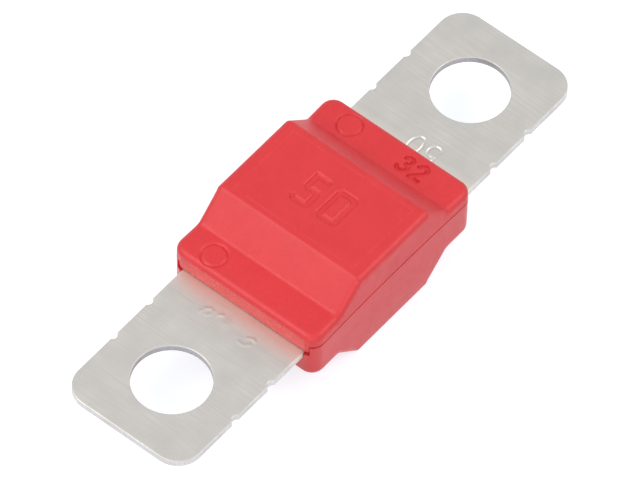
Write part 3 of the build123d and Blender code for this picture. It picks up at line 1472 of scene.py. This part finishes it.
class Shader(Nodes):
    """A material's node tree in the making. Its textures run on the object's own coordinates."""

    def __init__(self, name: str) -> None:
        """Starts the material.

        Args:
            name: name of the material.
        """
        self.material = bpy.data.materials.new(name)
        self.material.use_nodes = True
        super().__init__(self.material.node_tree)
        self.place = self.node("ShaderNodeTexCoord").outputs["Object"]

    def axes(self) -> Sequence[Socket]:
        """The object's own X, Y and Z, in metres."""
        return self.node("ShaderNodeSeparateXYZ", {0: self.place}).outputs

    def unsigned(self, value: Socket) -> Socket:
        """A number without its sign."""
        return self.maths("ABSOLUTE", value, 0.0)

    def noise(self, size: float, stretch: Stretch = (1.0, 1.0, 1.0), detail: float = 3.0) -> Socket:
        """Noise with grains of a size.

        Args:
            size: grain size in millimetres.
            stretch: how much longer the grains are along each axis.
            detail: octaves of finer grain.

        Returns:
            A value round 0.5.
        """
        spread = tuple(1.0 / (size * MM * s) for s in stretch)
        place = self.node("ShaderNodeMapping", {"Vector": self.place, "Scale": spread}).outputs[0]
        return self.node("ShaderNodeTexNoise", {"Vector": place, "Scale": 1.0, "Detail": detail}).outputs[0]

    def between(self, value: Socket, low: float, high: float, to: Point2 = (0.0, 1.0)) -> Socket:
        """Maps a value's range onto another range, and stops at its ends.

        Args:
            value: the value.
            low: where its range starts.
            high: where it ends.
            to: start and end of the range that it is mapped onto.

        Returns:
            The mapped value.
        """
        inputs = {"Value": value, "From Min": low, "From Max": high, "To Min": to[0], "To Max": to[1]}
        return self.node("ShaderNodeMapRange", inputs).outputs[0]

    def near_to_far(self, value: Socket, start: float, end: float, to: Point2 = (0.0, 1.0)) -> Socket:
        """Maps a length's range, given in millimetres, onto another range, and stops at its ends."""
        return self.between(value, start * MM, end * MM, to)

    def mix(self, factor: object, first: object, second: object) -> Socket:
        """Mixes two colours.

        Args:
            factor: share of the second colour.
            first: colour or socket.
            second: colour or socket.

        Returns:
            The mixed colour.
        """
        full = [c if isinstance(c, Socket) else (*c, 1.0) for c in (first, second)]
        return self.node("ShaderNodeMix", {0: factor, 6: full[0], 7: full[1]}, data_type="RGBA").outputs[2]

    def bump(self, height: Socket, depth: float, before: Socket | None = None) -> Socket:
        """Turns a height between 0 and 1 into a surface relief.

        Args:
            height: the height.
            depth: depth of the relief in millimetres.
            before: relief that this one is added to.

        Returns:
            The surface's direction.
        """
        inputs: Inputs = {"Height": height, "Distance": depth * MM, "Strength": 1.0}
        if before is not None:
            inputs["Normal"] = before
        return self.node("ShaderNodeBump", inputs).outputs[0]

    def finish(self, **inputs: object) -> Material:
        """Ends the tree in a Principled surface.

        Args:
            inputs: the surface's inputs, with _ for each space in their names.

        Returns:
            The material.
        """
        named = {key.replace("_", " "): value for key, value in inputs.items()}
        surface = self.node("ShaderNodeBsdfPrincipled", named)
        self.node("ShaderNodeOutputMaterial", {"Surface": surface.outputs[0]})
        return self.material


def linear(red: float, green: float, blue: float) -> Colour:
    """Turns a display colour of 0 to 255 a channel into linear light."""
    values = (red / 255, green / 255, blue / 255)
    return tuple(v / 12.92 if v <= 0.04045 else ((v + 0.055) / 1.055) ** 2.4 for v in values)


@dataclass(frozen=True)
class MouldedPlastic:
    """Red moulded plastic with a fine satin grain, a faint mottle and a painted highlight along the insert's
    fine ridge line. Sizes are in millimetres.
    """

    name: str
    roughness: Point2
    colour: Colour = linear(218, 50, 55)
    deep: Colour = linear(210, 44, 50)
    cloud_size: float = 1.6
    fleck_size: float = 0.2
    gloss_size: float = 0.5  # of the patches that are rougher and less rough
    end_polish: float = 0.17  # how much less rough the end faces are
    end_place: Point2 = (7.88, 7.99)  # from none to all of it, from the middle
    wave_size: float = 1.3
    wave_depth: float = 0.010
    grain_size: float = 0.11
    grain_depth: float = 0.0012
    insert_half: Point2 = (2.97, 4.9)  # the rectangle that the mould's insert leaves on the flat top
    insert_level: float = 3.9
    insert_line_place: Point2 = (0.02, 0.09)  # from all of the line to none, from its middle
    insert_line_height: float = 0.008
    # the insert's line is a real low ridge; its paler colour is a painted highlight along that ridge
    insert_line_highlight_colour: Colour = linear(255, 150, 150)
    insert_line_highlight_share: float = 0.05
    wear_size: float = 0.7

    def material(self) -> Material:
        """Makes the material.

        Returns:
            The material.
        """
        shader = Shader(self.name)
        cloud = shader.between(shader.noise(self.cloud_size, detail=4.0), *NARROW)
        fleck = shader.between(shader.noise(self.fleck_size, detail=2.0), *NARROW)
        colour = shader.mix(shader.mix(0.5, cloud, fleck), self.colour, self.deep)
        rough = shader.between(shader.noise(self.gloss_size), *WIDE, self.roughness)
        from_middle = shader.unsigned(shader.axes()[0])
        polish = shader.near_to_far(from_middle, *self.end_place, (0.0, self.end_polish))
        rough = shader.maths("SUBTRACT", rough, polish)
        waves = shader.bump(shader.noise(self.wave_size, detail=2.0), self.wave_depth)
        wear = shader.between(shader.noise(self.wear_size), *NARROW)
        line = shader.maths("MULTIPLY", self.insert_line(shader), wear)
        ridge = shader.bump(line, self.insert_line_height, waves)
        relief = shader.bump(shader.noise(self.grain_size, detail=2.0), self.grain_depth, ridge)
        # paints a pale highlight along the insert's line, where the ridge is
        pale = shader.maths("MULTIPLY", line, self.insert_line_highlight_share)
        colour = shader.mix(pale, colour, self.insert_line_highlight_colour)
        return shader.finish(Base_Color=colour, Roughness=rough, Normal=relief, IOR=1.5)

    def insert_line(self, shader: Shader) -> Socket:
        """The fine rectangle on the flat top.

        Args:
            shader: material in the making.

        Returns:
            1 on the line, 0 elsewhere.
        """
        axes = shader.axes()
        gaps = [shader.maths("SUBTRACT", shader.unsigned(axes[k]), self.insert_half[k] * MM) for k in (0, 1)]
        away = shader.unsigned(shader.maths("MAXIMUM", *gaps))
        line = shader.near_to_far(away, *self.insert_line_place, (1.0, 0.0))
        return shader.maths("MULTIPLY", line, shader.maths("GREATER_THAN", axes[2], self.insert_level * MM))


@dataclass(frozen=True)
class PlatedMetal:
    """Matte plated metal with fine rolling streaks, a few soft stains and a painted warm reflection beside the
    covers. Sizes are in millimetres.
    """

    name: str
    bright: Colour
    dull: Colour
    roughness: Point2 = (0.34, 0.46)
    streak: Stretch = (1.1, 30.0, 0.5)  # how much longer the streaks are along each axis
    streak_depth: float = 0.005
    streak_size: float = 0.12
    streak_range: Point2 = (0.38, 0.70)
    streak_share: float = 0.8
    stain_size: float = 2.2
    rough_range: Point2 = (0.7, 1.3)
    grain_size: float = 0.09
    grain_depth: float = 0.0015
    metallic: float = 0.85
    painted_cover_reflection: Colour = linear(222, 214, 203)  # painted warm reflection of the covers, where the strip leaves them
    painted_reflection_place: Point2 = (9.5, 8.3)  # from none to all of it, from the middle
    warm_roughness: float = 0.12  # how much rougher it is there

    def material(self) -> Material:
        """Makes the material.

        Returns:
            The material.
        """
        shader = Shader(self.name)
        streaks = shader.noise(self.streak_size, self.streak, 4.0)
        stains = shader.noise(self.stain_size, detail=4.0)
        colour = shader.mix(shader.between(stains, *WIDE), self.bright, self.dull)
        streaked = shader.between(streaks, *self.streak_range, (0.0, self.streak_share))
        colour = shader.mix(streaked, colour, self.dull)
        near_cover = shader.near_to_far(shader.unsigned(shader.axes()[0]), *self.painted_reflection_place)
        # paints a lighter, warmer reflection of the covers on the strip beside them
        colour = shader.mix(near_cover, colour, self.painted_cover_reflection)
        rough = shader.between(shader.maths("ADD", streaks, stains), *self.rough_range, self.roughness)
        rough = shader.maths("ADD", rough, shader.maths("MULTIPLY", near_cover, self.warm_roughness))
        grain = shader.bump(shader.noise(self.grain_size, detail=2.0), self.grain_depth)
        relief = shader.bump(streaks, self.streak_depth, grain)
        return shader.finish(Base_Color=colour, Metallic=self.metallic, Roughness=rough, Normal=relief)


@dataclass(frozen=True)
class PaleFloor:
    """A plain pale ground: it looks white, darkened only where the object shades it."""

    colour: Colour = (0.55, 0.55, 0.55)
    lift: float = 0.68  # added for what sees or mirrors the floor, and not to the light on the object
    cool: tuple[float, ...] = (0.95, 1.0, 1.06, 1.0)  # tint of what is added
    cloud_size: float = 60.0  # millimetres
    cloud_range: Point2 = (0.985, 1.0)
    roughness: float = 0.9
    gloss: float = 0.1

    def material(self) -> Material:
        """Makes the material.

        Returns:
            The material.
        """
        shader = Shader("pale_floor")
        cloud = shader.between(shader.noise(self.cloud_size), *WIDE, self.cloud_range)
        tone = shader.node("ShaderNodeVectorMath", {0: self.colour, "Scale": cloud}, operation="SCALE")
        lift = shader.maths("MULTIPLY", shader.seen_or_mirrored(), self.lift)
        return shader.finish(
            Base_Color=tone.outputs[0],
            Roughness=self.roughness,
            Specular_IOR_Level=self.gloss,
            Emission_Color=self.cool,
            Emission_Strength=lift,
        )


UPPER_PLASTIC = MouldedPlastic("upper_plastic", roughness=(0.41, 0.49))
LOWER_PLASTIC = MouldedPlastic("lower_plastic", roughness=(0.29, 0.37))
PLATED_FACE = PlatedMetal("plated_face", linear(206, 203, 198), linear(190, 188, 184))
SHEARED_EDGE = PlatedMetal(
    "sheared_edge", linear(217, 214, 213), linear(192, 188, 188), (0.36, 0.5), streak=(0.6, 0.6, 6.0)
)
# The stud holes' walls: the cut edges' finish with darker colours, painted shade inside the holes.
SHADED_HOLE_WALL = PlatedMetal(
    "hole_wall_painted_shade", linear(184, 182, 184), linear(160, 158, 160), (0.36, 0.5), streak=(0.6, 0.6, 6.0)
)
DULL_TIN = PlatedMetal(
    "dull_tin", linear(186, 186, 190), linear(150, 150, 156), (0.5, 0.62), (1.0, 1.0, 1.0), streak_depth=0.004
)


# ---- Stage, light and camera ---------------------------------------------------------------------


def looking_at(target: Vector, azimuth: float, elevation: float, distance: float, roll: float) -> Matrix:
    """Place of a camera or lamp that looks at a point.

    Args:
        target: the point, in metres.
        azimuth: 0 looks along +Y and 90 along -X, in degrees.
        elevation: above the horizon, in degrees.
        distance: in metres.
        roll: turn about the line of sight, in degrees.

    Returns:
        The world matrix.
    """
    az, el, turn = (math.radians(v) for v in (azimuth, elevation, roll))
    back = Vector((math.sin(az) * math.cos(el), -math.cos(az) * math.cos(el), math.sin(el)))
    right = (-back).cross(Vector((0, 0, 1))).normalized()
    up = back.cross(right)
    across = right * math.cos(turn) + up * math.sin(turn)
    upright = up * math.cos(turn) - right * math.sin(turn)
    place = Matrix((across, upright, back)).transposed().to_4x4()
    place.translation = target + back * distance
    return place


@dataclass(frozen=True)
class SoftLamp:
    """A square lamp that looks at the middle of the part, in metres, degrees and watts."""

    name: str
    azimuth: float
    elevation: float
    distance: float
    size: float
    power: float

    def build(self) -> None:
        """Hangs the lamp."""
        lamp = bpy.data.lights.new(self.name, "AREA")
        lamp.shape, lamp.size, lamp.energy = "SQUARE", self.size, self.power
        body = link_object(self.name, lamp)
        body.matrix_world = looking_at(Vector((0, 0, 0)), self.azimuth, self.elevation, self.distance, 0.0)


@dataclass(frozen=True)
class Studio:
    """Floor, backdrop light, lamps and camera, in metres and degrees."""

    lamps: tuple[SoftLamp, ...] = (
        SoftLamp("key_lamp", azimuth=-127.0, elevation=50.0, distance=0.35, size=0.25, power=0.57),
        SoftLamp("rim_lamp", azimuth=42.0, elevation=44.0, distance=0.5, size=0.30, power=0.74),
        SoftLamp("low_lamp", azimuth=-52.0, elevation=17.0, distance=0.5, size=0.42, power=0.88),
    )
    sky: float = 0.5
    floor_clearance: float = 2e-5
    floor_start: float = 0.02  # radius of the innermost ring of faces
    floor_growth: float = 1.6  # from one ring to the next
    floor_rings: int = 9
    floor_sides: int = 64
    target: Vector = Vector((-0.0003705, -0.0000997, 0.0))
    azimuth: float = -51.638216
    elevation: float = 53.740150
    roll: float = 1.396443
    distance: float = 0.6499777
    lens: float = 572.631  # millimetres, as is the sensor
    sensor: float = 36.0
    sight: Point2 = (0.01, 10.0)  # nearest and farthest that the camera sees

    def build(self) -> None:
        """Builds the whole studio."""
        self.lay_floor()
        self.light_sky()
        for lamp in self.lamps:
            lamp.build()
        self.place_camera()

    def lay_floor(self) -> None:
        """Lays a round floor that the part stands on."""
        level = float(cad_low[2]) - self.floor_clearance
        radii = [0.0] + [self.floor_start * self.floor_growth**k for k in range(self.floor_rings)]
        turns = np.linspace(0, 2 * math.pi, self.floor_sides + 1)
        quilt = Quilt()
        points = [[(r * math.cos(t), r * math.sin(t), level) for r in radii] for t in turns]
        quilt.sheet(quilt.add(np.array(points)))
        floor = quilt.to_object("floor")
        dress(floor, PaleFloor().material())
        floor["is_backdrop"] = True

    def light_sky(self) -> None:
        """Surrounds the part with plain white: full where it is looked at or mirrored, dimmer as a light."""
        world = bpy.data.worlds.new("surrounding")
        bpy.context.scene.world = world
        world.use_nodes = True
        nodes = Nodes(world.node_tree)
        white = (1.0, 1.0, 1.0, 1.0)
        lit, seen = (
            nodes.node("ShaderNodeBackground", {"Color": white, "Strength": strength}).outputs[0]
            for strength in (self.sky, 1.0)
        )
        both = nodes.node("ShaderNodeMixShader", {0: nodes.seen_or_mirrored(), 1: lit, 2: seen})
        nodes.node("ShaderNodeOutputWorld", {"Surface": both.outputs[0]})

    def place_camera(self) -> None:
        """Places the camera and looks through it."""
        camera = bpy.data.cameras.new("view")
        camera.sensor_width, camera.lens = self.sensor, self.lens
        camera.clip_start, camera.clip_end = self.sight
        body = link_object("view", camera)
        body.matrix_world = looking_at(self.target, self.azimuth, self.elevation, self.distance, self.roll)
        bpy.context.scene.camera = body


def write_sizes() -> None:
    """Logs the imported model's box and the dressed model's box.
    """
    low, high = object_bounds()
    boxes = {
        "cad": [[float(v) for v in cad_low], [float(v) for v in cad_high]],
        "visual": [[float(v) for v in low], [float(v) for v in high]],
    }
    for name, corners in boxes.items():
        log.info("%s box in mm: %s", name, [[round(v / MM, 3) for v in corner] for corner in corners])


def main() -> None:
    """Builds the covers, the strip, the pill's finish and the studio."""
    logging.basicConfig(level=logging.INFO, format="%(name)s: %(message)s")
    bpy.context.scene.view_settings.view_transform = "Standard"
    Covers(UPPER_PLASTIC.material(), LOWER_PLASTIC.material()).build()
    Strip(PLATED_FACE.material(), SHEARED_EDGE.material(), SHADED_HOLE_WALL.material()).build()
    dress(frame["nodes"]["tin_pill"], DULL_TIN.material())
    log.info("tin_pill: dressed in %s", DULL_TIN.name)
    Studio().build()
    write_sizes()


if __name__ == "__main__":
    main()
